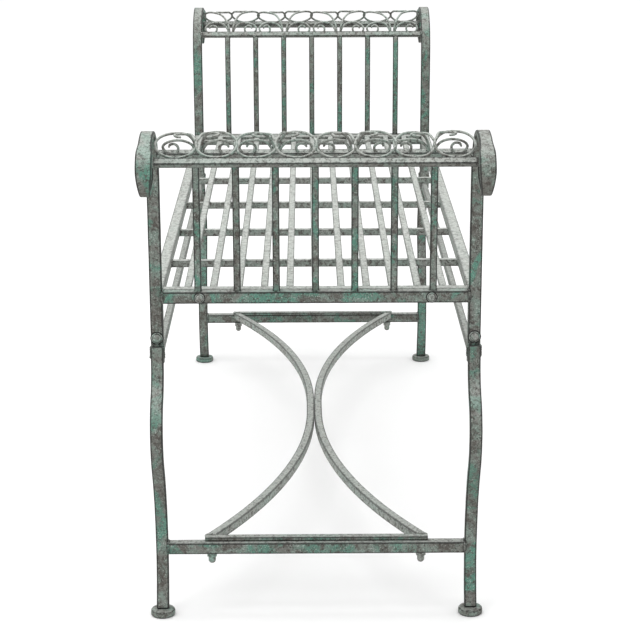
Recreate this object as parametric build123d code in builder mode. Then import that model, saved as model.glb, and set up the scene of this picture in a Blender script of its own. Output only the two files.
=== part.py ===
from build123d import *
from math import asin, atan2, cos, degrees, radians, sin, tan
import os

# A backless garden bench of forged iron. Two end frames carry rolled arms, with spindles and wire
# scrollwork. A slatted seat frame bolts between them, and two back-to-back bowed bars tie the stretchers.
# X runs along the bench, Y from front to back and Z up. The origin is on the floor, under the middle
# of the seat. Lengths are millimetres and angles are degrees.
# "Outward" is the distance beyond the plane of an end frame, away from the middle of the bench.

# ---- overall size ----
END_SPACING = 1100.0
POST_SPACING = 424.0
SEAT_HEIGHT = 455.0

# ---- end frame bars ----
POST_WIDTH = 17.0
POST_DEPTH = 9.0
RAIL = 16.0
ARM_BAR = 9.5
STRETCHER = 16.0
STRETCHER_HEIGHT = 92.0
POST_BOTTOM = 362.0

# ---- rolled arm: the arc of each stretch of the scroll, as radius and turn ----
SCROLL_START = SEAT_HEIGHT + 151.0
ARM_RADIUS = 72.0
SCROLL_ARCS = ((ARM_RADIUS, 90.0), (116.0, 30.0), (26.0, 150.0), (23.0, 90.0), (60.0, 14.0))
SCROLL_WIDTH = 21.0
ROLL_INNER = 80.0
FLARE_START = 106.0
FLARE_END = 130.0
TAPER_TOP = SEAT_HEIGHT + 193.0
TAPER_BOTTOM = SEAT_HEIGHT + 154.0
TAPERED_WIDTH = 13.0
INNER_RAIL_RISE = 35.0
OUTER_RAIL_OUTWARD = 97.5
OUTER_RAIL_HEIGHT = SEAT_HEIGHT + 193.0

# ---- legs and feet: how far outward each leg stands at its height ----
LEG_TOP = 380.0
BOW_OUTWARD = 58.0
BOW_HEIGHT = 265.0
ANKLE_OUTWARD = 10.0
ANKLE_HEIGHT = STRETCHER_HEIGHT
FOOT_OUTWARD = 28.0
FOOT_THICKNESS = 9.0
FOOT_RADIUS = 17.0
FOOT_EDGE = 3.0
UPPER_BEND_SHARE = 0.5
LOWER_BEND_SHARE = 0.26
OVERRUN = 3.0

# ---- arm filling ----
SPINDLE_COUNT = 7
SPINDLE_PITCH = 52.0
WIRE = 3.2
VAULT_OUTWARD = 53.0
VAULT_HEIGHT = SEAT_HEIGHT + 178.0
LOOP_RADIUS = 45.0
ARCH_RADIUS = 39.0
UNIT_COUNT = 4
UNIT_WIDTH = 100.0
CORNER_SHARE = 0.45

# Each wire as (distance from the unit's middle, angle around the vault from its outer side)
ARCH_WIRE = ((5, 154), (8, 134), (17, 118), (30, 112), (41, 121), (45, 138), (38, 151), (29, 146))
LOOP_WIRE = ((3.5, 114), (2.6, 92), (3, 66), (10, 42), (25, 30), (40, 42), (47, 64), (45, 90), (33, 106))

# ---- seat ----
SLAT_COUNT = 11
SLAT_PITCH = 34.2
SLAT_WIDTH = 10.0
SLAT_THICKNESS = 5.0
LEDGE_WIDTH = 12.0
CROSS_BAR = 10.0
CROSS_BAR_COUNT = 5
CROSS_BAR_PITCH = END_SPACING / (CROSS_BAR_COUNT + 1)
APRON_BAR = 10.0
APRON_HEIGHT = 358.0
UPRIGHT_DEPTH = 9.0

# ---- brace ----
BRACE_WIDTH = 12.5
BRACE_DEPTH = 13.0
BRACE_STRAIGHT = 30.0
BRACE_SPREAD = 146.0
STRAP_WIDTH = 12.0
STRAP_OUTWARD = 4.0
STRAP_THICKNESS = 5.5
STRAP_HALF_LENGTH = 153.0

# ---- fasteners ----
BOLT = 6.0
BOLT_HOLE = 6.5
NUT_BORE = 6.2
NUT_ACROSS_FLATS = 11.0
NUT_THICKNESS = 5.0
BOLT_TAIL = 2.5
CAP_NUT_ACROSS_FLATS = 13.0
CAP_NUT_THICKNESS = 6.0
CAP_RADIUS = 5.0
CAP_STRAIGHT = 7.0
CAP_CROWN = 4.0
RAIL_HEAD_RADIUS = 6.5
POST_HEAD_RADIUS = 7.5
HEAD_HEIGHT = 4.5
RAIL_BOLT_Y = 154.0
POST_BOLT_HEIGHT = 391.0
STUD_Y = 144.0
STUD_OUTWARD = 6.5

# ---- derived sizes ----
END_PLANE = END_SPACING / 2
POST_Y = POST_SPACING / 2
INNER_Y = POST_Y - POST_WIDTH / 2
POST_INNER_X = END_PLANE - POST_DEPTH / 2
RAIL_INNER_X = END_PLANE - RAIL / 2
SEAT_BAR_INNER_X = RAIL_INNER_X - RAIL
UPRIGHT_INNER_X = POST_INNER_X - UPRIGHT_DEPTH
RAIL_Z = SEAT_HEIGHT - RAIL / 2
RAIL_BOTTOM = SEAT_HEIGHT - RAIL
SLAT_BOTTOM = SEAT_HEIGHT - SLAT_THICKNESS
STRETCHER_TOP = STRETCHER_HEIGHT + STRETCHER / 2
STRETCHER_BOTTOM = STRETCHER_HEIGHT - STRETCHER / 2
STRETCHER_X = END_PLANE + ANKLE_OUTWARD
STRAP_X = END_PLANE + STRAP_OUTWARD
STRAP_INNER_X = STRAP_X - STRAP_WIDTH / 2
STRAP_TOP = STRETCHER_TOP + STRAP_THICKNESS
STUD_X = END_PLANE + STUD_OUTWARD
INNER_RAIL_LEAN = degrees(asin(INNER_RAIL_RISE / ARM_RADIUS))
INNER_RAIL_OUTWARD = ARM_RADIUS * (1 - cos(radians(INNER_RAIL_LEAN)))
INNER_RAIL_HEIGHT = SCROLL_START + INNER_RAIL_RISE

ENDS = {"left": -1, "right": 1}
SIDES = {"front": -1, "back": 1}

os.makedirs("parts", exist_ok=True)


def save(builder, name):
    """Label a finished piece and write it as its own STEP file."""
    builder.part.label = name
    export_step(builder.part, f"parts/{name}.step")


def profile_plane(y):
    """The vertical plane along the bench at this Y, whose local y is the world's Z."""
    return Plane.XZ.offset(-y)


def spaced(count, pitch):
    """Places either side of the middle, one pitch apart."""
    return [(i - (count - 1) / 2) * pitch for i in range(count)]


def block(x_range, y_range, z_range):
    """Add a straight bar that fills the three ranges."""
    x_low, x_high = sorted(x_range)
    y_low, y_high = sorted(y_range)
    z_low, z_high = sorted(z_range)
    with BuildSketch(Plane.XY.offset(z_low)) as footprint:
        with Locations(((x_low + x_high) / 2, (y_low + y_high) / 2)):
            Rectangle(x_high - x_low, y_high - y_low)
    extrude(footprint.sketch, amount=z_high - z_low)


def drill_along_x(y, z):
    """Cut a bolt hole along the bench through the whole piece."""
    with BuildSketch(Plane.YZ) as hole:
        with Locations((y, z)):
            Circle(BOLT_HOLE / 2)
    extrude(hole.sketch, amount=END_SPACING, both=True, mode=Mode.SUBTRACT)


def section(path, width, depth):
    """A flat-bar section across the start of a path that lies in a vertical lengthwise plane."""
    start = path.line @ 0
    with BuildSketch(Plane(origin=start, x_dir=(0, 1, 0), z_dir=path.line % 0)) as profile:
        Rectangle(width, depth)
    return profile


# ---- end frames ----
def scroll_path(end, y, bottom, arcs):
    """Straight up from the bottom, then the given arcs, turning away from the bench."""
    with BuildLine(profile_plane(y)) as path:
        Line((end * END_PLANE, bottom), (end * END_PLANE, SCROLL_START))
        for radius, turn in arcs:
            JernArc(path.line @ 1, path.line % 1, radius, -end * turn)
    return path


def taper_roll(end, y):
    """Narrow the underside of the scroll's roll, and leave the upright behind it whole."""
    narrow = TAPERED_WIDTH / 2
    wide = SCROLL_WIDTH / 2
    with BuildSketch(Plane.YZ.offset(end * (END_PLANE + ROLL_INNER))) as waste:
        for hand in (-1, 1):
            corners = ((narrow, TAPER_BOTTOM), (wide, TAPER_TOP), (2 * wide, TAPER_TOP), (2 * wide, TAPER_BOTTOM))
            with BuildLine():
                Polyline(*[(y + hand * across, z) for across, z in corners], close=True)
            make_face()
    extrude(waste.sketch, amount=end * FLARE_END, mode=Mode.SUBTRACT)


def make_post(end, side):
    """An upright whose top rolls over into the arm's scroll, and widens towards the roll's outside."""
    y = side * POST_Y
    with BuildPart() as post:
        path = scroll_path(end, y, POST_BOTTOM, SCROLL_ARCS)
        profile = section(path, SCROLL_WIDTH, POST_DEPTH)
        sweep(profile.sketch, path=path.line)
        half = POST_WIDTH / 2
        wide = SCROLL_WIDTH / 2
        plan = ((-RAIL, half), (FLARE_START, half), (FLARE_END, wide), (2 * FLARE_END, wide))
        outline = [(end * (END_PLANE + out), y + reach) for out, reach in plan]
        outline += [(end * (END_PLANE + out), y - reach) for out, reach in reversed(plan)]
        with BuildSketch(Plane.XY):
            with BuildLine():
                Polyline(*outline, close=True)
            make_face()
        extrude(amount=2 * SEAT_HEIGHT, mode=Mode.INTERSECT)
        taper_roll(end, y)
        drill_along_x(y, POST_BOLT_HEIGHT)
    return post


def bend_arcs(offset, drop, share):
    """Two tangent arcs that shift a hanging bar sideways: each one's radius, and the turn of both."""
    turn = 2 * atan2(abs(offset), drop)
    total = drop / sin(turn)
    return share * total, (1 - share) * total, degrees(turn)


def make_leg(end, side):
    """The lower leg: lapped on the post's outer face, bowed out, drawn in, and turned out at the foot."""
    lap = POST_DEPTH
    upper = bend_arcs(BOW_OUTWARD - lap, POST_BOTTOM - BOW_HEIGHT, UPPER_BEND_SHARE)
    lower = bend_arcs(BOW_OUTWARD - ANKLE_OUTWARD, BOW_HEIGHT - ANKLE_HEIGHT, LOWER_BEND_SHARE)
    toe_out = FOOT_OUTWARD - ANKLE_OUTWARD
    toe_drop = ANKLE_HEIGHT - FOOT_THICKNESS
    toe_radius = (toe_out**2 + toe_drop**2) / (2 * toe_out)
    toe_turn = degrees(asin(toe_drop / toe_radius)) + OVERRUN
    arcs = (
        (upper[0], upper[2]),
        (upper[1], -upper[2]),
        (lower[0], -lower[2]),
        (lower[1], lower[2]),
        (toe_radius, toe_turn),
    )
    with BuildPart() as leg:
        with BuildLine(profile_plane(side * POST_Y)) as path:
            Line((end * (END_PLANE + lap), LEG_TOP), (end * (END_PLANE + lap), POST_BOTTOM))
            for radius, turn in arcs:
                JernArc(path.line @ 1, path.line % 1, radius, end * turn)
        profile = section(path, POST_WIDTH, POST_DEPTH)
        sweep(profile.sketch, path=path.line)
        split(bisect_by=Plane.XY.offset(FOOT_THICKNESS), keep=Keep.TOP)
    return leg


def make_foot(end, side):
    """A round pad under the leg, with eased edges."""
    with BuildPart() as foot:
        with BuildSketch(Plane.XY):
            with Locations((end * (END_PLANE + FOOT_OUTWARD), side * POST_Y)):
                Circle(FOOT_RADIUS)
        extrude(amount=FOOT_THICKNESS)
        fillet(foot.edges().filter_by(GeomType.CIRCLE), FOOT_EDGE)
    return foot


def make_arm_rail(end, outward, height, lean):
    """A square bar between the two scrolls, turned about its own length."""
    with BuildPart() as rail:
        with BuildSketch(Plane.XZ):
            with Locations((end * (END_PLANE + outward), height)):
                Rectangle(ARM_BAR, ARM_BAR, rotation=-end * lean)
        extrude(amount=INNER_Y, both=True)
    return rail


def make_spindle(end):
    """The middle spindle: it stands on the seat rail, follows the post and stops under the arm rail."""
    lean = radians(INNER_RAIL_LEAN)
    along = Vector(end * sin(lean), 0, cos(lean))
    rail_centre = Vector(end * (END_PLANE + INNER_RAIL_OUTWARD), 0, INNER_RAIL_HEIGHT)
    with BuildPart() as spindle:
        path = scroll_path(end, 0, SEAT_HEIGHT, [(ARM_RADIUS, INNER_RAIL_LEAN)])
        profile = section(path, ARM_BAR, ARM_BAR)
        sweep(profile.sketch, path=path.line)
        rail_underside = Plane(origin=rail_centre - along * (ARM_BAR / 2), z_dir=along)
        split(bisect_by=rail_underside, keep=Keep.BOTTOM)
    return spindle


def make_spindles(end):
    """The row of spindles under one arm."""
    spindle = make_spindle(end)
    with BuildPart() as spindles:
        with Locations(*[(0, y, 0) for y in spaced(SPINDLE_COUNT, SPINDLE_PITCH)]):
            add(spindle.part)
    return spindles


def vault_point(end, y, angle, radius):
    """A point on the vault that the arm's scrollwork covers."""
    outward = VAULT_OUTWARD + radius * cos(radians(angle))
    height = VAULT_HEIGHT + radius * sin(radians(angle))
    return Vector(end * (END_PLANE + outward), y, height)


def corner_radii(points):
    """The largest smooth radius at each inner corner of a route."""
    radii = []
    for before, corner, after in zip(points, points[1:], points[2:]):
        arriving = corner - before
        leaving = after - corner
        turn = radians(arriving.get_angle(leaving))
        radii.append(CORNER_SHARE * min(arriving.length, leaving.length) / tan(turn / 2))
    return radii


def make_wire(points):
    """A round wire along straight runs joined by tangent arcs."""
    with BuildPart() as wire:
        with BuildLine() as route:
            FilletPolyline(*points, radius=corner_radii(points))
        with BuildSketch(Plane(origin=route.line @ 0, z_dir=route.line % 0)) as profile:
            Circle(WIRE / 2)
        sweep(profile.sketch, path=route.line)
    return wire


def make_scrollwork(end):
    """Four units of wire scrolls over one arm: arches on the inner side, loops on the outer side."""
    wires = []
    for hand in (-1, 1):
        arch = [vault_point(end, hand * across, angle, ARCH_RADIUS) for across, angle in ARCH_WIRE]
        loop = [vault_point(end, hand * across, angle, LOOP_RADIUS) for across, angle in LOOP_WIRE]
        wires += [make_wire(arch), make_wire(loop)]
    with BuildPart() as scrollwork:
        with Locations(*[(0, y, 0) for y in spaced(UNIT_COUNT, UNIT_WIDTH)]):
            for wire in wires:
                add(wire.part)
    return scrollwork


def make_end_rail(end):
    """The end frame's seat rail, with the two holes that its bolts pass."""
    with BuildPart() as rail:
        edges = (end * RAIL_INNER_X, end * (RAIL_INNER_X + RAIL))
        block(edges, (-INNER_Y, INNER_Y), (RAIL_BOTTOM, SEAT_HEIGHT))
        for y in (-RAIL_BOLT_Y, RAIL_BOLT_Y):
            drill_along_x(y, RAIL_Z)
    return rail


def make_stretcher(end):
    """The low bar between the front and back legs of one end, with the two holes that the studs pass."""
    x = end * STRETCHER_X
    with BuildPart() as stretcher:
        block((x - STRETCHER / 2, x + STRETCHER / 2), (-INNER_Y, INNER_Y), (STRETCHER_BOTTOM, STRETCHER_TOP))
        with BuildSketch(Plane.XY.offset(STRETCHER_BOTTOM)) as holes:
            with Locations((end * STUD_X, -STUD_Y), (end * STUD_X, STUD_Y)):
                Circle(BOLT_HOLE / 2)
        extrude(holes.sketch, amount=STRETCHER, mode=Mode.SUBTRACT)
    return stretcher


for end_name, end in ENDS.items():
    for side_name, side in SIDES.items():
        save(make_post(end, side), f"{end_name}_{side_name}_post")
        save(make_leg(end, side), f"{end_name}_{side_name}_leg")
        save(make_foot(end, side), f"{end_name}_{side_name}_foot")
    inner_rail = make_arm_rail(end, INNER_RAIL_OUTWARD, INNER_RAIL_HEIGHT, INNER_RAIL_LEAN)
    outer_rail = make_arm_rail(end, OUTER_RAIL_OUTWARD, OUTER_RAIL_HEIGHT, 45)
    save(inner_rail, f"{end_name}_arm_inner_rail")
    save(outer_rail, f"{end_name}_arm_outer_rail")
    save(make_spindles(end), f"{end_name}_arm_spindles")
    save(make_scrollwork(end), f"{end_name}_arm_scrollwork")
    save(make_end_rail(end), f"{end_name}_seat_rail")
    save(make_stretcher(end), f"{end_name}_stretcher")


# ---- seat frame, bolted between the end frames ----
for side_name, side in SIDES.items():
    with BuildPart() as side_rail:
        rail_sides = (side * INNER_Y, side * (INNER_Y + RAIL))
        block((-POST_INNER_X, POST_INNER_X), rail_sides, (RAIL_BOTTOM, SEAT_HEIGHT))
    save(side_rail, f"seat_{side_name}_rail")

    with BuildPart() as apron:
        apron_sides = (side * POST_Y - APRON_BAR / 2, side * POST_Y + APRON_BAR / 2)
        apron_heights = (APRON_HEIGHT - APRON_BAR / 2, APRON_HEIGHT + APRON_BAR / 2)
        block((-UPRIGHT_INNER_X, UPRIGHT_INNER_X), apron_sides, apron_heights)
    save(apron, f"seat_{side_name}_lower_rail")

for end_name, end in ENDS.items():
    with BuildPart() as end_bar:
        bar_edges = (end * SEAT_BAR_INNER_X, end * RAIL_INNER_X)
        block(bar_edges, (-INNER_Y, INNER_Y), (RAIL_BOTTOM, SEAT_HEIGHT))
        for y in (-RAIL_BOLT_Y, RAIL_BOLT_Y):
            drill_along_x(y, RAIL_Z)
    save(end_bar, f"seat_{end_name}_end_bar")

    with BuildPart() as ledge:
        ledge_edges = (end * SEAT_BAR_INNER_X, end * (SEAT_BAR_INNER_X - LEDGE_WIDTH))
        block(ledge_edges, (-INNER_Y, INNER_Y), (SLAT_BOTTOM - SLAT_THICKNESS, SLAT_BOTTOM))
    save(ledge, f"seat_{end_name}_ledge")

    for side_name, side in SIDES.items():
        with BuildPart() as upright:
            upright_edges = (end * UPRIGHT_INNER_X, end * POST_INNER_X)
            upright_sides = (side * INNER_Y, side * (INNER_Y + POST_WIDTH))
            block(upright_edges, upright_sides, (APRON_HEIGHT - APRON_BAR / 2, RAIL_BOTTOM))
            drill_along_x(side * POST_Y, POST_BOLT_HEIGHT)
        save(upright, f"seat_{end_name}_{side_name}_upright")

for number, x in enumerate(spaced(CROSS_BAR_COUNT, CROSS_BAR_PITCH), start=1):
    with BuildPart() as cross_bar:
        bar_edges = (x - CROSS_BAR / 2, x + CROSS_BAR / 2)
        block(bar_edges, (-INNER_Y, INNER_Y), (SLAT_BOTTOM - CROSS_BAR, SLAT_BOTTOM))
    save(cross_bar, f"seat_cross_bar_{number}")

for number, y in enumerate(spaced(SLAT_COUNT, SLAT_PITCH), start=1):
    with BuildPart() as slat:
        slat_sides = (y - SLAT_WIDTH / 2, y + SLAT_WIDTH / 2)
        block((-SEAT_BAR_INNER_X, SEAT_BAR_INNER_X), slat_sides, (SLAT_BOTTOM, SEAT_HEIGHT))
    save(slat, f"seat_slat_{number:02d}")


# ---- brace between the stretchers ----
rise = BRACE_SPREAD - BRACE_WIDTH / 2
run = STRAP_INNER_X - BRACE_STRAIGHT
bow_radius = (rise**2 + run**2) / (2 * rise)
bow_turn = degrees(asin(run / bow_radius)) + OVERRUN

for side_name, side in SIDES.items():
    with BuildPart() as bow:
        middle_y = side * BRACE_WIDTH / 2
        with BuildLine(Plane.XY.offset(STRAP_TOP - BRACE_DEPTH / 2)) as bow_path:
            middle = Line((-BRACE_STRAIGHT, middle_y), (BRACE_STRAIGHT, middle_y))
            JernArc(middle @ 1, middle % 1, bow_radius, side * bow_turn)
            JernArc(middle @ 0, -(middle % 0), bow_radius, -side * bow_turn)
        bow_start = Plane(origin=bow_path.line @ 0, x_dir=(0, 0, 1), z_dir=bow_path.line % 0)
        with BuildSketch(bow_start) as bow_section:
            Rectangle(BRACE_DEPTH, BRACE_WIDTH)
        sweep(bow_section.sketch, path=bow_path.line)
        split(bisect_by=Plane.YZ.offset(STRAP_INNER_X), keep=Keep.BOTTOM)
        split(bisect_by=Plane.YZ.offset(-STRAP_INNER_X), keep=Keep.TOP)
    save(bow, f"brace_{side_name}_bow")

for end_name, end in ENDS.items():
    with BuildPart() as strap:
        strap_edges = (end * STRAP_INNER_X, end * (STRAP_INNER_X + STRAP_WIDTH))
        block(strap_edges, (-STRAP_HALF_LENGTH, STRAP_HALF_LENGTH), (STRETCHER_TOP, STRAP_TOP))
    save(strap, f"brace_{end_name}_strap")


# ---- fasteners ----
def dome_arc(radius, rise, base):
    """Half of a dome's outline, from its rim at the base height up to its top."""
    sphere = (radius**2 + rise**2) / (2 * rise)
    side = radius / 2
    height_at_side = rise - sphere + (sphere**2 - side**2) ** 0.5
    ThreePointArc((radius, base), (side, base + height_at_side), (0, base + rise))


def add_bolt(seat, head_radius, length):
    """Add a dome-headed bolt. The seat plane is under the head, and its z points out of the head."""
    with BuildSketch(Plane(origin=seat.origin, x_dir=seat.x_dir, z_dir=-seat.y_dir)) as half_section:
        with BuildLine():
            Line((0, HEAD_HEIGHT), (0, -length))
            Line((0, -length), (BOLT / 2, -length))
            Line((BOLT / 2, -length), (BOLT / 2, 0))
            Line((BOLT / 2, 0), (head_radius, 0))
            dome_arc(head_radius, HEAD_HEIGHT, 0)
        make_face()
    revolve(half_section.sketch, axis=Axis(seat.origin, seat.z_dir))


def add_nut(seat, across_flats, thickness):
    """Add a hexagon nut on the seat plane, growing along its z."""
    with BuildSketch(seat) as hexagon:
        RegularPolygon(across_flats / 2, 6, major_radius=False)
        Circle(NUT_BORE / 2, mode=Mode.SUBTRACT)
    extrude(hexagon.sketch, amount=thickness)


def add_cap_nut(seat):
    """Add a hexagon nut with a domed cap, growing along the seat plane's z."""
    add_nut(seat, CAP_NUT_ACROSS_FLATS, CAP_NUT_THICKNESS)
    base = Plane(origin=seat.origin + seat.z_dir * CAP_NUT_THICKNESS, x_dir=seat.x_dir, z_dir=-seat.y_dir)
    with BuildSketch(base) as half_section:
        with BuildLine():
            Line((0, 0), (CAP_RADIUS, 0))
            Line((CAP_RADIUS, 0), (CAP_RADIUS, CAP_STRAIGHT))
            dome_arc(CAP_RADIUS, CAP_CROWN, CAP_STRAIGHT)
            Line((0, CAP_STRAIGHT + CAP_CROWN), (0, 0))
        make_face()
    revolve(half_section.sketch, axis=Axis(seat.origin, seat.z_dir))


def facing(x, y, z, direction):
    """A plane at a point, whose z points along or against the bench."""
    return Plane(origin=(x, y, z), x_dir=(0, 1, 0), z_dir=(direction, 0, 0))


def under_stretcher(end, side):
    """The downward plane on the stretcher's underside where a brace stud comes out."""
    return Plane(origin=(end * STUD_X, side * STUD_Y, STRETCHER_BOTTOM), x_dir=(1, 0, 0), z_dir=(0, 0, -1))


with BuildPart() as rail_bolts:
    for end in ENDS.values():
        for y in (-RAIL_BOLT_Y, RAIL_BOLT_Y):
            head_seat = facing(end * (RAIL_INNER_X + RAIL), y, RAIL_Z, end)
            add_bolt(head_seat, RAIL_HEAD_RADIUS, 2 * RAIL - BOLT_TAIL)
save(rail_bolts, "rail_bolts")

with BuildPart() as post_bolts:
    for end in ENDS.values():
        for side in SIDES.values():
            head_seat = facing(end * (END_PLANE + POST_DEPTH / 2), side * POST_Y, POST_BOLT_HEIGHT, end)
            grip = POST_DEPTH + UPRIGHT_DEPTH
            add_bolt(head_seat, POST_HEAD_RADIUS, grip + NUT_THICKNESS + BOLT_TAIL)
save(post_bolts, "post_bolts")

with BuildPart() as brace_studs:
    for end in ENDS.values():
        for side in SIDES.values():
            with BuildSketch(under_stretcher(end, side)) as stud_section:
                Circle(BOLT / 2)
            extrude(stud_section.sketch, amount=-STRETCHER)
            extrude(stud_section.sketch, amount=CAP_NUT_THICKNESS)
save(brace_studs, "brace_studs")

with BuildPart() as nuts:
    for end in ENDS.values():
        for side in SIDES.values():
            nut_seat = facing(end * UPRIGHT_INNER_X, side * POST_Y, POST_BOLT_HEIGHT, -end)
            add_nut(nut_seat, NUT_ACROSS_FLATS, NUT_THICKNESS)
            add_cap_nut(under_stretcher(end, side))
save(nuts, "nuts")
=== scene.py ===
from math import asin, atan2, cos, degrees, pi, radians, sin, sqrt

import bpy
from mathutils import Matrix, Vector, noise


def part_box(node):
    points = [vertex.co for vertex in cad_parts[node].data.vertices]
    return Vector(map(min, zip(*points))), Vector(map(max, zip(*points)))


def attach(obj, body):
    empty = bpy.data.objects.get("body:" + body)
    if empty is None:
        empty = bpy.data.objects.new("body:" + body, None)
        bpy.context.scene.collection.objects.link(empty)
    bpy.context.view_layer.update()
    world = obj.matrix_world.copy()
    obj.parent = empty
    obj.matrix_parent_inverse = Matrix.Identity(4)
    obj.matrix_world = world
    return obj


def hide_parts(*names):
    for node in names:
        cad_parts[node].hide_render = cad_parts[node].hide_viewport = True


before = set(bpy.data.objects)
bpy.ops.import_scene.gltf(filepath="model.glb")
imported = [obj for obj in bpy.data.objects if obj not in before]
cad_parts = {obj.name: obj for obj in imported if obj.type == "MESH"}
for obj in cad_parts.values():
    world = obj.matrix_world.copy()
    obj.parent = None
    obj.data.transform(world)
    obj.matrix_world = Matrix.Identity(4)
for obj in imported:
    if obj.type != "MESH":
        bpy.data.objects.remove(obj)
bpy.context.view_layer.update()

# Looks of a forged-iron garden bench, around its CAD frame. X runs along the bench, Y from front to back.
# Lengths are metres, with MM for millimetres, and angles are degrees unless a name says otherwise.
# "Outward" is the distance beyond the plane of an end frame, away from the middle of the bench.
MM = 0.001
ENDS = {"left": -1, "right": 1}
SIDES = {"front": -1, "back": 1}
X_AXIS, Y_AXIS, Z_AXIS = Vector((1, 0, 0)), Vector((0, 1, 0)), Vector((0, 0, 1))

# ---- driving sizes, as in the CAD ----
POST_DEPTH = 9 * MM
SCROLL_WIDTH = 21 * MM
FLARE_START = 106 * MM
FLARE_END = 130 * MM
ROLL_INNER = 80 * MM
TAPERED_WIDTH = 13 * MM
ARM_BAR = 9.5 * MM
ARM_RADIUS = 72 * MM
SCROLL_ARCS = ((ARM_RADIUS, 90), (116 * MM, 30), (26 * MM, 150), (23 * MM, 90), (60 * MM, 14))
INNER_RAIL_LEAN = 29.1
OUTER_RAIL_LEAN = 45.0
BOW_HEIGHT = 265 * MM
ANKLE_OUTWARD = 10 * MM
UPPER_BEND_SHARE = 0.5
LOWER_BEND_SHARE = 0.26
SPINDLE_COUNT = 7
VAULT_OUTWARD = 53 * MM
VAULT_RADIUS = 44 * MM
WIRE_RADIUS = 1.75 * MM
UNIT_COUNT = 4
UNIT_WIDTH = 100 * MM
BRACE_WIDTH = 12.5 * MM
BRACE_STRAIGHT = 30 * MM
BRACE_SPREAD = 146 * MM
CROSS_BAR_COUNT = 5
SLAT_COUNT = 11
BOLT_RADIUS = 3 * MM
RAIL_BOLT_LENGTH = 29.5 * MM
POST_BOLT_TAIL = 7.5 * MM

# ---- places read from the frame ----
post_low, post_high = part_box("right_front_post")
leg_low, leg_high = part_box("right_front_leg")
foot_low, foot_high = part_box("right_front_foot")
end_rail_low, end_rail_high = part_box("right_seat_rail")
stretcher_low, stretcher_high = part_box("right_stretcher")
POST_Y = -(leg_low.y + leg_high.y) / 2
POST_WIDTH = leg_high.y - leg_low.y
INNER_Y = POST_Y - POST_WIDTH / 2
POST_BOTTOM = post_low.z
SEAT_TOP = end_rail_high.z
END_PLANE = (end_rail_low.x + end_rail_high.x) / 2
SCROLL_START = post_high.z - POST_DEPTH / 2 - ARM_RADIUS
TAPER_TOP = SEAT_TOP + 193 * MM
TAPER_BOTTOM = SEAT_TOP + 154 * MM
LEG_TOP = leg_high.z
BOW_OUTWARD = leg_high.x - POST_DEPTH / 2 - END_PLANE
ANKLE_HEIGHT = (stretcher_low.z + stretcher_high.z) / 2
FOOT_OUTWARD = (foot_low.x + foot_high.x) / 2 - END_PLANE
FOOT_TOP = foot_high.z
VAULT_HEIGHT = SEAT_TOP + 178 * MM

# ---- how bars are meshed ----
RING_SPACING = 5 * MM
CORNER_RADIUS = 1.4 * MM
THIN_CORNER_RADIUS = 1.0 * MM
BUTT = 0.4 * MM
HAMMER_DEPTH = 0.016

# ---- colours, as linear light ----
# Near-black is used for pits, and also for painted shade along corners, in hollows between parts and round bolt
# heads.
SOOT_AND_SHADE = (0.013, 0.013, 0.012, 1)
# Pewter is also the colour of the painted shade on faces that point down.
PEWTER_AND_SHADE = (0.070, 0.063, 0.054, 1)
IRON_GREY = (0.145, 0.150, 0.134, 1)
GREY_GREEN = (0.170, 0.218, 0.188, 1)
VERDIGRIS = (0.075, 0.215, 0.160, 1)
# This pale colour is also laid on faces that point up, as painted light from above.
CHALK_AND_TOP_LIGHT = (0.500, 0.520, 0.490, 1)


# ---- material ----
def plug(tree, value, socket):
    """Set a socket from a number or colour, or link it to an output."""
    if isinstance(value, bpy.types.NodeSocket):
        tree.links.new(value, socket)
    else:
        socket.default_value = value


def cloud(tree, place, scale, detail, roughness, distortion=0.0):
    """Noise at this scale, in cycles per metre."""
    node = tree.nodes.new("ShaderNodeTexNoise")
    node.inputs["Scale"].default_value = scale
    node.inputs["Detail"].default_value = detail
    node.inputs["Roughness"].default_value = roughness
    node.inputs["Distortion"].default_value = distortion
    plug(tree, place, node.inputs["Vector"])
    return node.outputs["Fac"]


def band(tree, value, low, high, bottom=0.0, top=1.0):
    """The value stretched so that low gives bottom and high gives top, and clamped."""
    node = tree.nodes.new("ShaderNodeMapRange")
    node.inputs["From Min"].default_value = low
    node.inputs["From Max"].default_value = high
    node.inputs["To Min"].default_value = bottom
    node.inputs["To Max"].default_value = top
    plug(tree, value, node.inputs["Value"])
    return node.outputs["Result"]


def combine(tree, operation, first, second):
    node = tree.nodes.new("ShaderNodeMath")
    node.operation = operation
    node.use_clamp = True
    plug(tree, first, node.inputs[0])
    plug(tree, second, node.inputs[1])
    return node.outputs["Value"]


def over(tree, amount, below, above):
    """The colour above laid over the colour below, by the amount."""
    node = tree.nodes.new("ShaderNodeMix")
    node.data_type = "RGBA"
    colours = [socket for socket in node.inputs if socket.type == "RGBA"]
    factor = next(socket for socket in node.inputs if socket.type == "VALUE")
    plug(tree, amount, factor)
    plug(tree, below, colours[0])
    plug(tree, above, colours[1])
    return next(socket for socket in node.outputs if socket.type == "RGBA")


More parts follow.
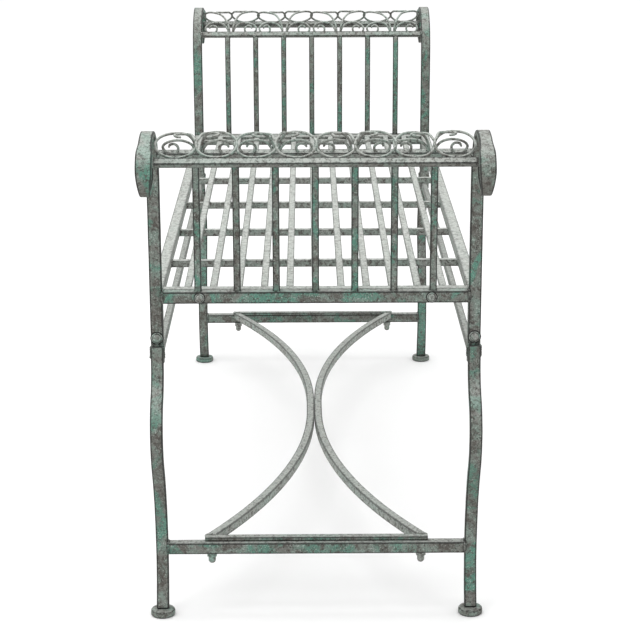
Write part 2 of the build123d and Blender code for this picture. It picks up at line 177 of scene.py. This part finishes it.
def iron_paint(name, top_chalk_and_light, bloom, verdigris, edge_wear_and_shade, shift):
    """Weathered paint on forged iron: grey-green, teal and pewter, dark along its edges.

    Chalk whitens what faces up, partly as dust and partly as painted light from above, and bloom whitens every
    side.
    """
    material = bpy.data.materials.new(name)
    material.use_nodes = True
    tree = material.node_tree
    shader = tree.nodes["Principled BSDF"]
    coordinates = tree.nodes.new("ShaderNodeTexCoord")
    mapping = tree.nodes.new("ShaderNodeMapping")
    mapping.inputs["Location"].default_value = (shift, 2 * shift, 3 * shift)
    plug(tree, coordinates.outputs["Object"], mapping.inputs["Vector"])
    place = mapping.outputs["Vector"]

    speckle = cloud(tree, place, 520, 2, 0.6)
    grit = cloud(tree, place, 210, 4, 0.7, 0.5)
    blotch = cloud(tree, place, 52, 4, 0.65, 0.8)
    stain = cloud(tree, place, 26, 4, 0.60, 0.9)
    patch = cloud(tree, place, 13, 3, 0.55, 1.1)

    geometry = tree.nodes.new("ShaderNodeNewGeometry")
    split = tree.nodes.new("ShaderNodeSeparateXYZ")
    plug(tree, geometry.outputs["Normal"], split.inputs["Vector"])
    facing_up = split.outputs["Z"]

    paint = over(tree, band(tree, blotch, 0.42, 0.58), IRON_GREY, GREY_GREEN)
    bare_area = combine(tree, "MULTIPLY", band(tree, stain, 0.48, 0.56), band(tree, grit, 0.40, 0.56, 0.35))
    paint = over(tree, combine(tree, "MULTIPLY", bare_area, 0.9 - 0.6 * bloom), paint, PEWTER_AND_SHADE)
    teal_area = combine(tree, "MULTIPLY", band(tree, patch, 0.51, 0.58), band(tree, grit, 0.66, 0.44, 0.35))
    paint = over(tree, combine(tree, "MULTIPLY", teal_area, verdigris), paint, VERDIGRIS)
    paint = over(tree, combine(tree, "MULTIPLY", band(tree, grit, 0.60, 0.42, 0.45), bloom), paint, CHALK_AND_TOP_LIGHT)

    # Pale on faces that point up: partly chalky dust, partly a painted highlight for the light from above.
    dust_and_top_light = combine(tree, "MULTIPLY", band(tree, facing_up, 0.3, 0.9), band(tree, grit, 0.62, 0.40, 0.4))
    paint = over(tree, combine(tree, "MULTIPLY", dust_and_top_light, top_chalk_and_light), paint, CHALK_AND_TOP_LIGHT)
    flecks = combine(tree, "MULTIPLY", band(tree, speckle, 0.42, 0.34), band(tree, blotch, 0.40, 0.60, 0.2, 0.6))
    paint = over(tree, flecks, paint, CHALK_AND_TOP_LIGHT)

    # Pewter where the paint is rubbed to bare metal, plus painted shade on faces that point down; both are weaker
    # on faces that point up.
    bare = combine(tree, "MULTIPLY", band(tree, grit, 0.52, 0.60), band(tree, blotch, 0.62, 0.45, 0.35, 0.9))
    shade = combine(tree, "ADD", bare, band(tree, facing_up, -0.15, -0.8, 0.0, 0.55))
    shade = combine(tree, "MULTIPLY", shade, band(tree, facing_up, 0.9, 0.2, 1 - 0.75 * top_chalk_and_light, 1.0))
    paint = over(tree, shade, paint, PEWTER_AND_SHADE)
    pits = combine(tree, "MULTIPLY", band(tree, speckle, 0.57, 0.66, 0.0, 0.85), band(tree, grit, 0.44, 0.58, 0.25))
    paint = over(tree, pits, paint, SOOT_AND_SHADE)

    # Dark along the rounded corners and bar ends: partly worn paint, partly painted shade where the corners turn
    # from the light.
    edge = tree.nodes.new("ShaderNodeAttribute")
    edge.attribute_name = "edge"
    ragged = combine(tree, "MULTIPLY", edge.outputs["Fac"], band(tree, grit, 0.30, 0.62, 0.75, 1.15))
    paint = over(tree, band(tree, ragged, 0.62, 0.86, 0.0, edge_wear_and_shade), paint, SOOT_AND_SHADE)

    # Painted shade in the hollows between parts and round bolt heads, from an occlusion node.
    crevice_shade = tree.nodes.new("ShaderNodeAmbientOcclusion")
    crevice_shade.samples = 4
    crevice_shade.inputs["Distance"].default_value = 5 * MM
    paint = over(tree, band(tree, crevice_shade.outputs["AO"], 0.72, 0.35, 0.0, 0.85), paint, SOOT_AND_SHADE)
    plug(tree, paint, shader.inputs["Base Color"])

    plug(tree, band(tree, grit, 0.35, 0.62, 0.82, 0.55), shader.inputs["Roughness"])
    shader.inputs["Specular IOR Level"].default_value = 0.32

    relief = tree.nodes.new("ShaderNodeBump")
    relief.inputs["Strength"].default_value = 0.75
    relief.inputs["Distance"].default_value = 0.6 * MM
    coarse = band(tree, grit, 0.75, 0.25, 0.0, 0.7)
    fine = band(tree, speckle, 0.8, 0.2, 0.0, 0.3)
    plug(tree, combine(tree, "ADD", coarse, fine), relief.inputs["Height"])
    plug(tree, relief.outputs["Normal"], shader.inputs["Normal"])
    return material


MATERIALS = {
    "frame_iron": iron_paint("frame_iron_paint", 0.55, 0.0, 0.85, 0.85, shift=0.3),
    "arm_wire": iron_paint("arm_wire_paint", 0.85, 0.28, 0.45, 0.80, shift=2.2),
    "seat_iron": iron_paint("seat_iron_paint", 0.95, 0.28, 0.30, 0.40, shift=1.7),
    "brace_iron": iron_paint("brace_iron_paint", 0.70, 0.0, 0.70, 0.80, shift=3.1),
    "brace_bow": iron_paint("brace_bow_paint", 0.75, 0.50, 0.40, 0.60, shift=7.3),
    "feet": iron_paint("foot_paint", 0.30, 0.0, 0.60, 0.80, shift=4.3),
    "fasteners": iron_paint("fastener_paint", 0.50, 0.35, 1.0, 1.0, shift=5.9),
}


# ---- meshes ----
def bar_profile(half_width, half_depth, corner):
    """A rounded rectangle as (across, up, edge); edge is 1 on the corners and 0 on the flats."""
    inner_width = half_width - corner
    inner_depth = half_depth - corner
    margin = min(1.1 * MM, 0.5 * min(inner_width, inner_depth))
    profile = []
    for quarter, (way_across, way_up) in enumerate(((1, 1), (-1, 1), (-1, -1), (1, -1))):
        arc = []
        for angle in (0, 45, 90):
            turn = radians(90 * quarter + angle)
            across = way_across * inner_width + corner * cos(turn)
            up = way_up * inner_depth + corner * sin(turn)
            arc.append((across, up, 1.0))
        on_side = (way_across * half_width, way_up * (inner_depth - margin), 0.5)
        on_top = (way_across * (inner_width - margin), way_up * half_depth, 0.5)
        if quarter % 2 == 0:
            profile += [on_side, *arc, on_top, (0.0, way_up * half_depth, 0.0)]
        else:
            profile += [on_top, *arc, on_side, (way_across * half_width, 0.0, 0.0)]
    return profile


def hammered(place, seed):
    """How much the hammer has thinned the bar at this place, as a factor of up to one."""
    wave = noise.noise(Vector((place.x * 31 + seed, place.y * 31, place.z * 31)))
    dent = noise.noise(Vector((place.x * 95, place.y * 95 + seed, place.z * 95)))
    return 1 - HAMMER_DEPTH * max(0.0, 0.6 + 0.7 * wave + 0.6 * dent)


class Forging:
    """Collects the bars, wires and weld beads of one piece."""

    def __init__(self, seed=0.0):
        self.points = []
        self.faces = []
        self.edge = []
        self.seed = seed

    def skin(self, points, edge, ring_count, ring_size):
        """Join rings of points into a closed tube with flat ends."""
        start = len(self.points)
        for ring in range(ring_count - 1):
            low = start + ring * ring_size
            high = low + ring_size
            for i in range(ring_size):
                j = (i + 1) % ring_size
                self.faces.append((low + i, low + j, high + j, high + i))
        self.faces.append(tuple(reversed(range(start, start + ring_size))))
        end = start + (ring_count - 1) * ring_size
        self.faces.append(tuple(range(end, end + ring_size)))
        self.points += points
        self.edge += edge

    def bar(self, stations, corner=CORNER_RADIUS):
        """A forged bar through stations of (centre, side, up, half width, half depth)."""
        first, last = stations[0], stations[-1]
        ease = 0.6 * corner
        start_way = (stations[1][0] - first[0]).normalized() * ease
        end_way = (last[0] - stations[-2][0]).normalized() * ease
        rings = [(first, 0.90), ((first[0] + start_way, *first[1:]), 1.0)]
        rings += [(station, 1.0) for station in stations[1:-1]]
        rings += [((last[0] - end_way, *last[1:]), 1.0), (last, 0.90)]
        points = []
        edge = []
        for (centre, side, up, half_width, half_depth), inset in rings:
            profile = bar_profile(half_width, half_depth, corner)
            for across, rise, mark in profile:
                reach = side * across + up * rise
                points.append(centre + reach * inset * hammered(centre + reach, self.seed))
                # End rings are marked fully dark: painted shade where a bar meets its neighbour.
                edge.append(mark if inset == 1.0 else 1.0)
        self.skin(points, edge, len(rings), len(profile))

    def tube(self, path, radii, ring_size=12, mark=0.45):
        """A round wire or bead along a path, with a radius at each of its points."""
        points = []
        edge = []
        side = (path[1] - path[0]).orthogonal().normalized()
        for i, centre in enumerate(path):
            way = (path[min(i + 1, len(path) - 1)] - path[max(i - 1, 0)]).normalized()
            side = (side - way * side.dot(way)).normalized()
            up = way.cross(side)
            for j in range(ring_size):
                turn = 2 * pi * j / ring_size
                points.append(centre + (side * cos(turn) + up * sin(turn)) * radii[i])
                edge.append(mark)
        self.skin(points, edge, len(path), ring_size)

    def bead(self, start, end, radius):
        """A weld bead: a rippled run of metal with rounded ends."""
        start, end = Vector(start), Vector(end)
        run = end - start
        ripples = max(2, round(run.length / (2.2 * MM)))
        count = 6 * ripples
        path = []
        radii = []
        for i in range(count + 1):
            share = i / count
            spot = start + run * share
            wander = noise.noise_vector(spot * 260 + Vector((self.seed, 0, 0))) * 0.5 * MM
            ends = sqrt(min(1.0, 0.03 + 8 * share * (1 - share)))
            ripple = 1 + 0.16 * cos(2 * pi * ripples * share)
            uneven = 1 + 0.35 * noise.noise(spot * 190 + Vector((0, self.seed, 0)))
            path.append(spot + wander)
            radii.append(radius * ends * ripple * uneven)
        self.tube(path, radii, ring_size=10, mark=0.74)

    def blob(self, centre, radius):
        """A spot of weld."""
        centre = Vector(centre)
        count = 8
        path = []
        radii = []
        for i in range(count + 1):
            height = 2 * i / count - 1
            path.append(centre + Z_AXIS * radius * 0.8 * height)
            uneven = 1 + 0.3 * noise.noise(centre * 310 + Vector((height, self.seed, 0)))
            radii.append(radius * sqrt(max(0.03, 1 - height**2)) * uneven)
        self.tube(path, radii, ring_size=10, mark=0.74)

    def head(self, seat, out, radius, height):
        """A bolt head: a rim, a groove and a dome, on the seat point and facing out, with painted shade in its
        groove and in a seam round its foot.
        """
        # Columns: reach, rise, mark. A mark of 1 paints shade: round the foot where the head sits on the bar, and
        # in the groove.
        turned = (
            (1.20, 0.00, 1.0), (1.10, 0.08, 1.0), (1.00, 0.10, 1.0), (0.99, 0.30, 0.0), (0.91, 0.44, 0.0),
            (0.82, 0.42, 1.0), (0.76, 0.42, 1.0), (0.70, 0.62, 0.0), (0.55, 0.84, 0.0), (0.30, 0.97, 0.0),
            (0.05, 1.00, 0.0),
        )
        ring_size = 24
        side = out.orthogonal().normalized()
        up = out.cross(side)
        points = []
        edge = []
        for reach, rise, mark in turned:
            for j in range(ring_size):
                turn = 2 * pi * j / ring_size
                points.append(seat + (side * cos(turn) + up * sin(turn)) * radius * reach + out * height * rise)
                edge.append(mark)
        self.skin(points, edge, len(turned), ring_size)

    def finish(self, name, slot, nodes, paint=None):
        """Make the object, give it its finish, and let it stand for the CAD nodes named."""
        mesh = bpy.data.meshes.new(name)
        mesh.from_pydata([tuple(point) for point in self.points], [], self.faces)
        mesh.polygons.foreach_set("use_smooth", [True] * len(mesh.polygons))
        mesh.attributes.new("edge", "FLOAT", "POINT").data.foreach_set("value", self.edge)
        mesh.materials.append(MATERIALS[paint or slot])
        piece = bpy.data.objects.new(name, mesh)
        bpy.context.scene.collection.objects.link(piece)
        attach(piece, "root")
        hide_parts(*nodes)


def straight(start, end, side, width, depth):
    """Stations of a straight bar, where side is the direction of its width."""
    start, end = Vector(start), Vector(end)
    up = (end - start).normalized().cross(side).normalized()
    count = max(2, round((end - start).length / RING_SPACING))
    return [(start.lerp(end, i / count), side, up, width / 2, depth / 2) for i in range(count + 1)]


def follow(outward, height, heading, runs):
    """Points (outward, height, heading) along runs of (length, turn). Heading 0 is up and 90 is outward."""
    points = [(outward, height, heading)]
    for length, turn in runs:
        count = max(2, round(length / RING_SPACING))
        for _ in range(count):
            half = radians(turn / count / 2)
            chord = length / count * (sin(half) / half if turn else 1.0)
            outward += chord * sin(radians(heading) + half)
            height += chord * cos(radians(heading) + half)
            heading += turn / count
            points.append((outward, height, heading))
    return points


def arc_runs(arcs):
    """The runs of arcs given as (radius, turn)."""
    return [(radius * radians(abs(turn)), turn) for radius, turn in arcs]


def profile_stations(end, y, trace, width_at, depth):
    """Stations of a bar that lies in a vertical plane along the bench."""
    stations = []
    for outward, height, heading in trace:
        centre = Vector((end * (END_PLANE + outward), y, height))
        way = Vector((end * sin(radians(heading)), 0, cos(radians(heading))))
        up = way.cross(Y_AXIS)
        stations.append((centre, Y_AXIS, up, width_at(outward, height) / 2, depth / 2))
    return stations


# ---- end frames ----
def eased(value, low, high):
    """A smooth rise from 0 at low to 1 at high."""
    share = min(1.0, max(0.0, (value - low) / (high - low)))
    return share * share * (3 - 2 * share)


def scroll_width(outward, height):
    """The post's width: wider on the outside of the roll, and narrow underneath it."""
    width = POST_WIDTH + (SCROLL_WIDTH - POST_WIDTH) * eased(outward, FLARE_START, FLARE_END)
    if outward > ROLL_INNER and height < TAPER_TOP:
        tapered = TAPERED_WIDTH + (SCROLL_WIDTH - TAPERED_WIDTH) * eased(height, TAPER_BOTTOM, TAPER_TOP)
        width = min(width, tapered)
    return width


def post_width(_outward, _height):
    return POST_WIDTH


def arm_bar_width(_outward, _height):
    return ARM_BAR


def bend_arcs(offset, drop, share):
    """Two tangent arcs that shift a hanging bar outward by the offset: each one's radius and turn."""
    turn = 2 * atan2(offset, drop)
    total = drop / sin(abs(turn))
    return (share * total, -degrees(turn)), ((1 - share) * total, degrees(turn))


def leg_trace():
    """The line of a leg, downwards: the lap on the post, the bow, the ankle and the turned-out toe."""
    toe_out = FOOT_OUTWARD - ANKLE_OUTWARD
    toe_drop = ANKLE_HEIGHT - FOOT_TOP
    toe_radius = (toe_out**2 + toe_drop**2) / (2 * toe_out)
    arcs = (
        *bend_arcs(BOW_OUTWARD - POST_DEPTH, POST_BOTTOM - BOW_HEIGHT, UPPER_BEND_SHARE),
        *bend_arcs(ANKLE_OUTWARD - BOW_OUTWARD, BOW_HEIGHT - ANKLE_HEIGHT, LOWER_BEND_SHARE),
        (toe_radius, -degrees(asin(toe_drop / toe_radius))),
    )
    return follow(POST_DEPTH, LEG_TOP, 180, [(LEG_TOP - POST_BOTTOM, 0), *arc_runs(arcs)])


def make_post(end, side, name, seed):
    """The upright and its scroll."""
    trace = follow(0, POST_BOTTOM, 0, [(SCROLL_START - POST_BOTTOM, 0), *arc_runs(SCROLL_ARCS)])
    forging = Forging(seed)
    forging.bar(profile_stations(end, side * POST_Y, trace, scroll_width, POST_DEPTH))
    forging.finish(f"{name}_post_bar", "frame_iron", [f"{name}_post"])


def make_leg(end, side, name, seed):
    """The lower leg, with the welds that join it to the post."""
    forging = Forging(seed)
    forging.bar(profile_stations(end, side * POST_Y, leg_trace(), post_width, POST_DEPTH))
    x = end * (END_PLANE + POST_DEPTH / 2)
    half = POST_WIDTH / 2
    for edge_side in (-1, 1):
        y = side * POST_Y + edge_side * half
        forging.bead((x, y, POST_BOTTOM), (x, y, LEG_TOP), 1.9 * MM)
    for z, radius in ((LEG_TOP, 3.2 * MM), (LEG_TOP - 4 * MM, 2.4 * MM), (POST_BOTTOM, 2.0 * MM)):
        forging.bead((x, side * POST_Y - half, z), (x, side * POST_Y + half, z), radius)
    forging.finish(f"{name}_leg_bar", "frame_iron", [f"{name}_leg"])


def make_foot(name):
    """A turned pad: flat underneath, with eased edges and a slightly crowned top."""
    low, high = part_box(name)
    centre = (low + high) / 2
    radius = (high.x - low.x) / 2
    outline = (
        (0.88, 0.00), (0.95, 0.04), (0.985, 0.14), (1.00, 0.32), (0.998, 0.60),
        (0.975, 0.80), (0.93, 0.92), (0.82, 0.97), (0.50, 1.00), (0.10, 1.00),
    )
    ring_size = 48
    points = []
    edge = []
    for reach, rise in outline:
        for j in range(ring_size):
            turn = 2 * pi * j / ring_size
            dent = noise.noise(Vector((3 * cos(turn) + centre.x * 9, 3 * sin(turn) + centre.y * 9, rise)))
            across = radius * reach * (0.985 + 0.015 * dent)
            height = low.z + (high.z - low.z) * rise
            points.append(Vector((centre.x + across * cos(turn), centre.y + across * sin(turn), height)))
            # The rounded rim is marked darker: worn paint and painted shade on the curve.
            edge.append(0.8 if 0.9 < reach < 0.99 else 0.3)
    forging = Forging()
    forging.skin(points, edge, len(outline), ring_size)
    forging.finish(f"{name}_pad", "feet", [name])


def make_arm_rail(node, lean, end, seed):
    """A square bar turned about its own length, welded between the two scrolls."""
    low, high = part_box(node)
    centre = (low + high) / 2
    side = Vector((end * cos(radians(lean)), 0, -sin(radians(lean))))
    start = Vector((centre.x, -INNER_Y - BUTT, centre.z))
    stop = Vector((centre.x, INNER_Y + BUTT, centre.z))
    forging = Forging(seed)
    forging.bar(straight(start, stop, side, ARM_BAR, ARM_BAR), THIN_CORNER_RADIUS)
    across = side * (0.62 * ARM_BAR)
    up = Y_AXIS.cross(across)
    for way in (-1, 1):
        joint = Vector((centre.x, way * INNER_Y, centre.z))
        corners = [joint + across, joint + up, joint - across, joint - up]
        for corner, following in zip(corners, corners[1:] + corners[:1]):
            forging.bead(corner, following, 1.8 * MM)
    forging.finish(f"{node}_bar", "frame_iron", [node], paint="arm_wire")


def make_spindles(end, end_name, seed):
    """The row of spindles under one arm, with a weld at each foot and head."""
    node = f"{end_name}_arm_spindles"
    low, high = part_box(node)
    pitch = (high.y - low.y - ARM_BAR) / (SPINDLE_COUNT - 1)
    head_room = degrees(ARM_BAR / 2 / ARM_RADIUS)
    arc = (ARM_RADIUS, INNER_RAIL_LEAN - head_room)
    trace = follow(0, SEAT_TOP - BUTT, 0, [(SCROLL_START - SEAT_TOP + BUTT, 0), *arc_runs([arc])])
    top_out, top_height, top_heading = trace[-1]
    tilt = radians(top_heading)
    forging = Forging(seed)
    for i in range(SPINDLE_COUNT):
        y = low.y + ARM_BAR / 2 + i * pitch
        forging.seed = seed + i
        forging.bar(profile_stations(end, y, trace, arm_bar_width, ARM_BAR), THIN_CORNER_RADIUS)
        for out in (-ARM_BAR / 2, ARM_BAR / 2):
            foot_x = end * END_PLANE + out
            head_x = end * (END_PLANE + top_out + out * cos(tilt))
            head_z = top_height - out * sin(tilt)
            forging.bead((foot_x, y - ARM_BAR / 2, SEAT_TOP), (foot_x, y + ARM_BAR / 2, SEAT_TOP), 1.3 * MM)
            forging.bead((head_x, y - ARM_BAR / 2, head_z), (head_x, y + ARM_BAR / 2, head_z), 1.3 * MM)
    forging.finish(f"{node}_bars", "frame_iron", [node])


# ---- wire scrollwork ----
# Places on the vault are (distance from the unit's middle in millimetres, angle around the vault).
# Angle 0 is the arm's outer side, 90 the top, and 180 the inner side, where the scrolls stand on the rail.
ARCH_WIRE = (
    (4, 168), (6, 157), (12, 145), (22, 138), (33, 138), (43, 145), (47, 155),
    (43, 165), (35, 168), (28, 163), (26.5, 154), (31, 147), (37, 148), (39, 154),
)
LOOP_STEM = ((3, 168), (4, 152), (8, 134), (14, 118), (21, 105))
LOOP_MIDDLE = 25.3
LOOP_REACH = 25.8
LOOP_TURNS = range(75, -211, -19)
# The oval was drawn flat and pressed onto the vault, along a direction this far above the level.
PRESS_ANGLE = 16
OVAL_HEIGHT = 26 * MM
OVAL_REACH = 17.5 * MM
LOOP_TAIL = ((7, 84), (15, 88), (23, 87), (28, 82), (26, 76), (20, 73))
CROSSING_GAP = 1.3 * MM


def loop_wire():
    """The larger wire: a stem from the inner rail, a full oval, and a small hook inside it."""
    oval = []
    for turn in LOOP_TURNS:
        across = LOOP_MIDDLE + LOOP_REACH * cos(radians(turn))
        rise = OVAL_HEIGHT + OVAL_REACH * sin(radians(turn))
        oval.append((across, PRESS_ANGLE + degrees(asin(rise / VAULT_RADIUS))))
    return (*LOOP_STEM, *oval, *LOOP_TAIL)


def vault_point(end, y, angle, radius):
    outward = VAULT_OUTWARD + radius * cos(radians(angle))
    return Vector((end * (END_PLANE + outward), y, VAULT_HEIGHT + radius * sin(radians(angle))))


def smooth_route(marks):
    """A Catmull-Rom curve through the marks."""
    samples = 6
    padded = [2 * marks[0] - marks[1], *marks, 2 * marks[-1] - marks[-2]]
    route = []
    for before, start, stop, after in zip(padded, padded[1:], padded[2:], padded[3:]):
        for i in range(samples):
            t = i / samples
            bend = 2 * before - 5 * start + 4 * stop - after
            twist = 3 * start - before - 3 * stop + after
            route.append(start + 0.5 * ((stop - before) * t + bend * t**2 + twist * t**3))
    route.append(marks[-1])
    return route


def make_scrollwork(end, end_name, seed):
    """Four units of mirrored scrolls, spot-welded to the rails and to each other."""
    node = f"{end_name}_arm_scrollwork"
    forging = Forging(seed)
    for unit in range(UNIT_COUNT):
        middle = (unit - (UNIT_COUNT - 1) / 2) * UNIT_WIDTH
        for hand in (-1, 1):
            for layer, wire in enumerate((ARCH_WIRE, loop_wire())):
                wobble = Vector((unit * 3.3 + seed, hand * 2.1, layer * 5.7))
                marks = []
                for i, (across, angle) in enumerate(wire):
                    drift = noise.noise_vector(wobble + Vector((0.35 * i, 0, 0)))
                    marks.append(Vector((hand * across + 1.6 * drift.x, angle + 1.8 * drift.y, 0)))
                radius = VAULT_RADIUS + hand * layer * CROSSING_GAP / 2 - (1 - layer) * CROSSING_GAP
                path = [vault_point(end, middle + spot.x * MM, spot.y, radius) for spot in smooth_route(marks)]
                last = len(path) - 1
                radii = [WIRE_RADIUS * min(1.0, 0.72 + 0.07 * min(i, last - i)) for i in range(last + 1)]
                forging.tube(path, radii)
            forging.blob(vault_point(end, middle + hand * LOOP_MIDDLE * MM, 27, VAULT_RADIUS), 2.7 * MM)
            forging.blob(vault_point(end, middle + hand * 4 * MM, 164, VAULT_RADIUS), 2.6 * MM)
            forging.blob(vault_point(end, middle + hand * 35 * MM, 165, VAULT_RADIUS), 2.1 * MM)
        forging.blob(vault_point(end, middle, 62, VAULT_RADIUS), 2.0 * MM)
    forging.finish(f"{node}_wires", "frame_iron", [node], paint="arm_wire")


# ---- straight bars that fill a CAD box ----
def end_welds(forging, low, high):
    """Welds around both ends of a bar along Y."""
    for y in (low.y, high.y):
        forging.bead((low.x, y, high.z), (high.x, y, high.z), 1.3 * MM)
        for x in (low.x, high.x):
            forging.bead((x, y, low.z), (x, y, high.z), 1.7 * MM)


def long_bar(node, slot, axis, seed, corner=CORNER_RADIUS, welded=False):
    """A bar along X, Y or Z through the middle of its CAD box, with the box's own width and depth."""
    low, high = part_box(node)
    centre = (low + high) / 2
    size = high - low
    along = "xyz".index(axis)
    start, end = centre.copy(), centre.copy()
    start[along] = low[along] - BUTT
    end[along] = high[along] + BUTT
    side, width, depth = {
        "x": (Y_AXIS, size.y, size.z),
        "y": (X_AXIS, size.x, size.z),
        "z": (Y_AXIS, size.y, size.x),
    }[axis]
    forging = Forging(seed)
    forging.bar(straight(start, end, side, width, depth), corner)
    if welded:
        end_welds(forging, low, high)
    forging.finish(f"{node}_bar", slot, [node])


# ---- brace bows ----
def make_bow(side, side_name, seed):
    """One bowed bar: straight where it touches its twin, and swept away to a strap at each end."""
    node = f"brace_{side_name}_bow"
    low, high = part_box(node)
    height = (low.z + high.z) / 2
    depth = high.z - low.z
    run = high.x - BRACE_STRAIGHT
    rise = BRACE_SPREAD - BRACE_WIDTH / 2
    radius = (rise**2 + run**2) / (2 * rise)
    turn = asin(run / radius)
    count = round(radius * turn / RING_SPACING)
    arc = []
    for i in range(count + 1):
        angle = turn * i / count
        x = BRACE_STRAIGHT + radius * sin(angle)
        y = side * (BRACE_WIDTH / 2 + radius * (1 - cos(angle)))
        arc.append((x, y, side * sin(angle), cos(angle)))
    route = [(-x, y, -slope, run_share) for x, y, slope, run_share in reversed(arc)] + arc
    stations = []
    for x, y, slope, run_share in route:
        across = Vector((-slope, run_share, 0))
        stations.append((Vector((x, y, height)), across, Z_AXIS, BRACE_WIDTH / 2, depth / 2))
    forging = Forging(seed)
    forging.bar(stations)
    end_y = side * BRACE_SPREAD
    half = BRACE_WIDTH / 2
    strap_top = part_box("brace_right_strap")[1].z
    for end in (-1, 1):
        x = end * high.x
        forging.bead((x, end_y - half, strap_top), (x, end_y + half, strap_top), 1.6 * MM)
        for y in (end_y - half, end_y + half):
            forging.bead((x, y, strap_top - 4 * MM), (x, y, strap_top), 1.5 * MM)
    forging.finish(f"{node}_bar", "brace_iron", [node], paint="brace_bow")


# ---- bolts ----
def make_bolts(node, seat_x, tip_x, seed):
    """Four bolts through the end frames, each with a domed head outside and a plain shank."""
    low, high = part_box(node)
    radius = (high.z - low.z) / 2
    forging = Forging(seed)
    for end in ENDS.values():
        for side in SIDES.values():
            seat = Vector((end * seat_x, side * (high.y - radius), low.z + radius))
            tip = Vector((end * tip_x, seat.y, seat.z))
            forging.head(seat, end * X_AXIS, radius, high.x - seat_x)
            forging.tube([seat, seat.lerp(tip, 0.97), tip], [BOLT_RADIUS, BOLT_RADIUS, 0.8 * BOLT_RADIUS])
    forging.finish(f"{node}_turned", "fasteners", [node])


for number, (end_name, end) in enumerate(ENDS.items()):
    for side_name, side in SIDES.items():
        seed = 10 * number + 3 * side
        name = f"{end_name}_{side_name}"
        make_post(end, side, name, seed + 1)
        make_leg(end, side, name, seed + 2)
        make_foot(f"{name}_foot")
        long_bar(f"seat_{name}_upright", "seat_iron", "z", seed + 4)
    make_arm_rail(f"{end_name}_arm_inner_rail", INNER_RAIL_LEAN, end, 31 + number)
    make_arm_rail(f"{end_name}_arm_outer_rail", OUTER_RAIL_LEAN, end, 41 + number)
    make_spindles(end, end_name, 51 + 9 * number)
    make_scrollwork(end, end_name, 71 + number)
    long_bar(f"{end_name}_seat_rail", "frame_iron", "y", 81 + number, welded=True)
    long_bar(f"{end_name}_stretcher", "brace_iron", "y", 83 + number, welded=True)
    long_bar(f"seat_{end_name}_end_bar", "seat_iron", "y", 85 + number)
    long_bar(f"seat_{end_name}_ledge", "seat_iron", "y", 87 + number, THIN_CORNER_RADIUS)
    long_bar(f"brace_{end_name}_strap", "brace_iron", "y", 89 + number, THIN_CORNER_RADIUS)

for number, (side_name, side) in enumerate(SIDES.items()):
    long_bar(f"seat_{side_name}_rail", "seat_iron", "x", 91 + number)
    long_bar(f"seat_{side_name}_lower_rail", "seat_iron", "x", 93 + number)
    make_bow(side, side_name, 95 + number)

for number in range(1, CROSS_BAR_COUNT + 1):
    long_bar(f"seat_cross_bar_{number}", "seat_iron", "y", 100 + number, THIN_CORNER_RADIUS, welded=True)

for number in range(1, SLAT_COUNT + 1):
    long_bar(f"seat_slat_{number:02d}", "seat_iron", "x", 110 + number, THIN_CORNER_RADIUS)

upright_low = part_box("seat_right_front_upright")[0]
make_bolts("rail_bolts", end_rail_high.x, end_rail_high.x - RAIL_BOLT_LENGTH, 131)
make_bolts("post_bolts", END_PLANE + POST_DEPTH / 2, upright_low.x - POST_BOLT_TAIL, 132)

# ---- studs and nuts keep their CAD shape ----
for node in ("brace_studs", "nuts"):
    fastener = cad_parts[node]
    fastener.data.materials.clear()
    fastener.data.materials.append(MATERIALS["fasteners"])


# ---- floor, light and camera ----
def plain_paint(name, colour):
    material = bpy.data.materials.new(name)
    material.use_nodes = True
    shader = material.node_tree.nodes["Principled BSDF"]
    shader.inputs["Base Color"].default_value = colour
    shader.inputs["Roughness"].default_value = 0.95
    return material


FLOOR_REACH = 12.0
floor_mesh = bpy.data.meshes.new("floor")
floor_corners = [(x * FLOOR_REACH, y * FLOOR_REACH, 0) for x, y in ((-1, -1), (1, -1), (1, 1), (-1, 1))]
floor_mesh.from_pydata(floor_corners, [], [(0, 1, 2, 3)])
floor_mesh.materials.append(plain_paint("floor_paint", (0.955, 0.955, 0.955, 1)))
floor = bpy.data.objects.new("floor", floor_mesh)
bpy.context.scene.collection.objects.link(floor)

world = bpy.data.worlds.new("studio")
world.use_nodes = True
world.node_tree.nodes["Background"].inputs["Color"].default_value = (1, 1, 1, 1)
world.node_tree.nodes["Background"].inputs["Strength"].default_value = 1.05
bpy.context.scene.world = world


def soft_light(name, place, target, size, power):
    """A round area light that points at the target."""
    light = bpy.data.lights.new(name, "AREA")
    light.shape = "DISK"
    light.size = size
    light.energy = power
    lamp = bpy.data.objects.new(name, light)
    lamp.location = place
    lamp.rotation_euler = (Vector(target) - Vector(place)).to_track_quat("-Z", "Y").to_euler()
    bpy.context.scene.collection.objects.link(lamp)


soft_light("overhead", (0.2, -0.4, 3.2), (0, 0, 0.3), 2.2, 34)
soft_light("key", (2.6, -2.4, 2.4), (0, 0, 0.4), 1.2, 12)

CAMERA_PLACE = (2.990, -0.013, 1.132)
CAMERA_PITCH = 16.40
CAMERA_YAW = 0.44
CAMERA_ROLL = -0.15
CAMERA_LENS = 107.2
camera_data = bpy.data.cameras.new("camera")
camera_data.sensor_width = 36
camera_data.lens = CAMERA_LENS
camera = bpy.data.objects.new("camera", camera_data)
yaw = Matrix.Rotation(radians(90 - CAMERA_YAW), 4, "Z")
pitch = Matrix.Rotation(radians(90 - CAMERA_PITCH), 4, "X")
roll = Matrix.Rotation(radians(CAMERA_ROLL), 4, "Z")
camera.matrix_world = Matrix.Translation(CAMERA_PLACE) @ yaw @ pitch @ roll
bpy.context.scene.collection.objects.link(camera)
bpy.context.scene.camera = camera
bpy.context.scene.view_settings.view_transform = "Standard"
